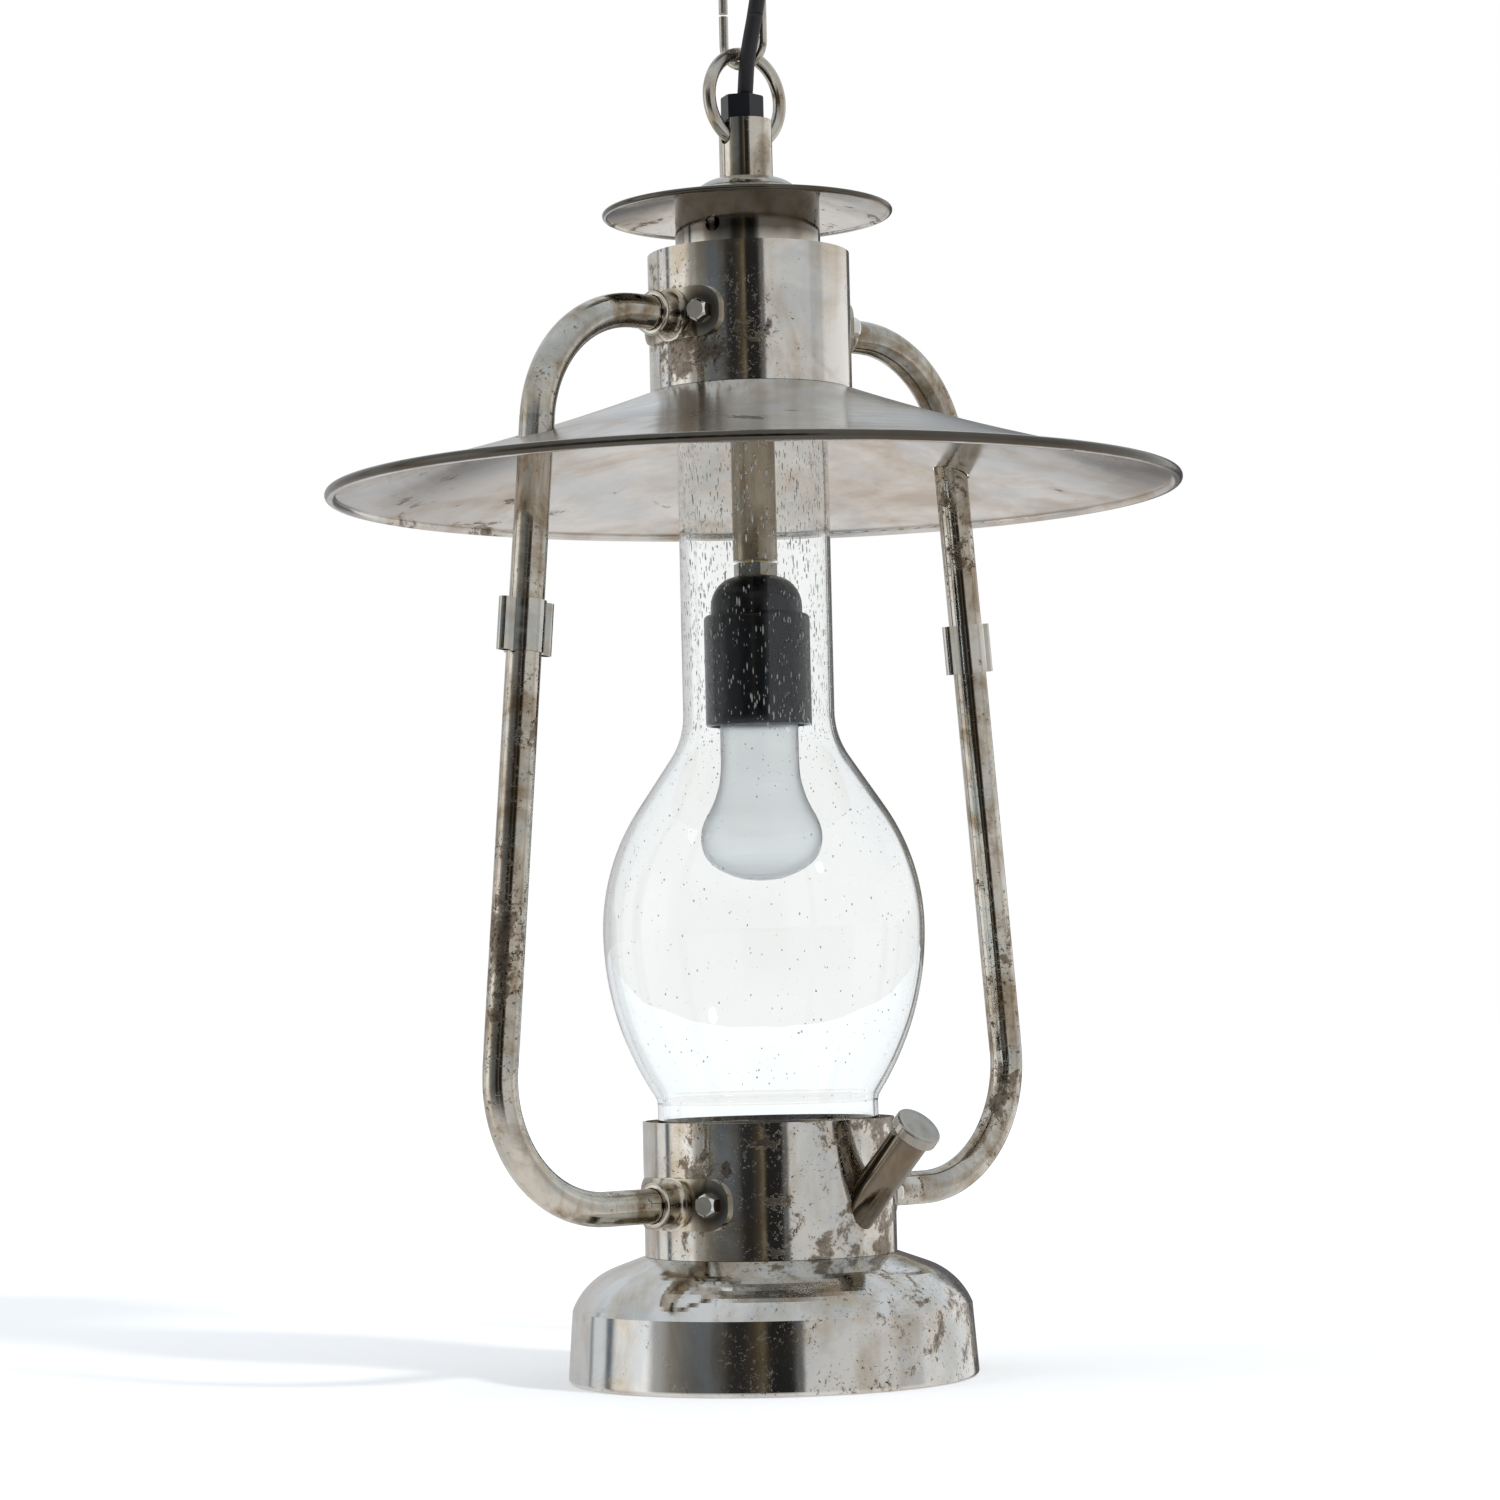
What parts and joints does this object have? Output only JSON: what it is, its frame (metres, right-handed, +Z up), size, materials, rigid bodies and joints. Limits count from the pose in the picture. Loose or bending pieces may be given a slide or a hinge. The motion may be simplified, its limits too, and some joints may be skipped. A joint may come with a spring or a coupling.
{
  "type": "pendant lamp",
  "caption": "Chain-hung lantern pendant lamp: bent side tubes join a wide shade, a blown glass chimney over a reflector bulb and a round font with a slanted filler spout.",
  "frame": {"origin": "on the ceiling face, midway between the mounting bar's two screw holes, straight above the lamp's axis", "axes": "+Z up out of the ceiling face, so the lamp hangs down -Z; the side tubes lie on X, and the filler spout points to -Y"},
  "size_m": [0.3398, 0.3398, 0.6561],
  "materials": {
    "nickel_plate": "worn nickel plate, tarnished, with brown pits",
    "plated_wire": "dull plated wire",
    "zinc_plate": "zinc plated",
    "brass": "plain turned brass",
    "black_plastic": "semi-gloss black",
    "cable_sheath": "matt black",
    "lead_sheath": "single-core insulation in three colours",
    "pale_plastic": "pale moulding",
    "chimney_glass": "clear blown glass with seeds",
    "bulb_glass": "silvered reflector glass"
  },
  "bodies": {
    "ceiling_fitting": {"mounting_bar": "zinc_plate", "canopy": "nickel_plate", "canopy_nipple": "brass", "canopy_nuts": "brass", "canopy_loop": "nickel_plate", "canopy_gland": "black_plastic", "terminal_block": "pale_plastic", "canopy_leads": "lead_sheath", "supply_cable": "cable_sheath"},
    "upper_link": {"chain_link_2": "plated_wire"},
    "lower_link": {"chain_link_1": "plated_wire"},
    "glass_chimney": {"chimney": "chimney_glass"},
    "bulb": {"bulb_glass": "bulb_glass", "bulb_screw_cap": "brass"},
    "spout_cap": {"filler_cap": "nickel_plate", "cap_seal": "cable_sheath"},
    "lamp": {"hanging_ring": "plated_wire", "cable_gland": "black_plastic", "stem_tube": "nickel_plate", "stem_flange": "nickel_plate", "top_cap": "nickel_plate", "vent_tube": "nickel_plate", "vent_bridge": "nickel_plate", "stem_nut": "brass", "collar_top_plate": "nickel_plate", "upper_collar": "nickel_plate", "shade": "nickel_plate", "lamp_tube": "nickel_plate", "tube_plug": "brass", "holder_nipple": "brass", "holder_nut": "nickel_plate", "holder_cap": "black_plastic", "holder_skirt": "black_plastic", "holder_insert": "pale_plastic", "contact_sleeve": "brass", "lamp_leads": "lead_sheath", "chimney_seat": "nickel_plate", "lower_collar": "nickel_plate", "collar_deck": "nickel_plate", "font_shell": "nickel_plate", "base_plate": "nickel_plate", "filler_spout": "nickel_plate", "left_upper_tube": "nickel_plate", "left_lower_tube": "nickel_plate", "right_upper_tube": "nickel_plate", "right_lower_tube": "nickel_plate", "tube_spigots": "brass", "left_sleeve_clip": "nickel_plate", "right_sleeve_clip": "nickel_plate", "left_upper_flange": "nickel_plate", "right_upper_flange": "nickel_plate", "left_lower_flange": "nickel_plate", "right_lower_flange": "nickel_plate", "upper_bolts": "nickel_plate", "lower_bolts": "nickel_plate", "upper_nuts": "nickel_plate", "lower_nuts": "nickel_plate"}
  },
  "joints": [
    {"name": "upper_link_swing", "type": "hinge", "parent": "ceiling_fitting", "child": "upper_link", "pos_m": [0, 0, -0.057], "axis": [0.2504, -0.9681, 0], "range_deg": [-25, 25], "deforming": ["supply_cable"]},
    {"name": "lower_link_swing", "type": "hinge", "parent": "upper_link", "child": "lower_link", "pos_m": [0, 0, -0.0959], "axis": [0.9681, 0.2504, 0], "range_deg": [-25, 25], "deforming": ["supply_cable"]},
    {"name": "lamp_swing", "type": "hinge", "parent": "lower_link", "child": "lamp", "pos_m": [0, 0, -0.1355], "axis": [0.2504, -0.9681, 0], "range_deg": [-20, 20], "deforming": ["supply_cable"]},
    {"name": "chimney_lift", "type": "slide", "parent": "lamp", "child": "glass_chimney", "axis": [0, 0, 1], "range_m": [0, 0.03]},
    {"name": "bulb_draw", "type": "slide", "parent": "lamp", "child": "bulb", "axis": [0, 0, -1], "range_m": [0, 0.025]},
    {"name": "filler_cap_pull", "type": "slide", "parent": "lamp", "child": "spout_cap", "axis": [0.0666, -0.6915, 0.7193], "range_m": [0, 0.012]}
  ]
}
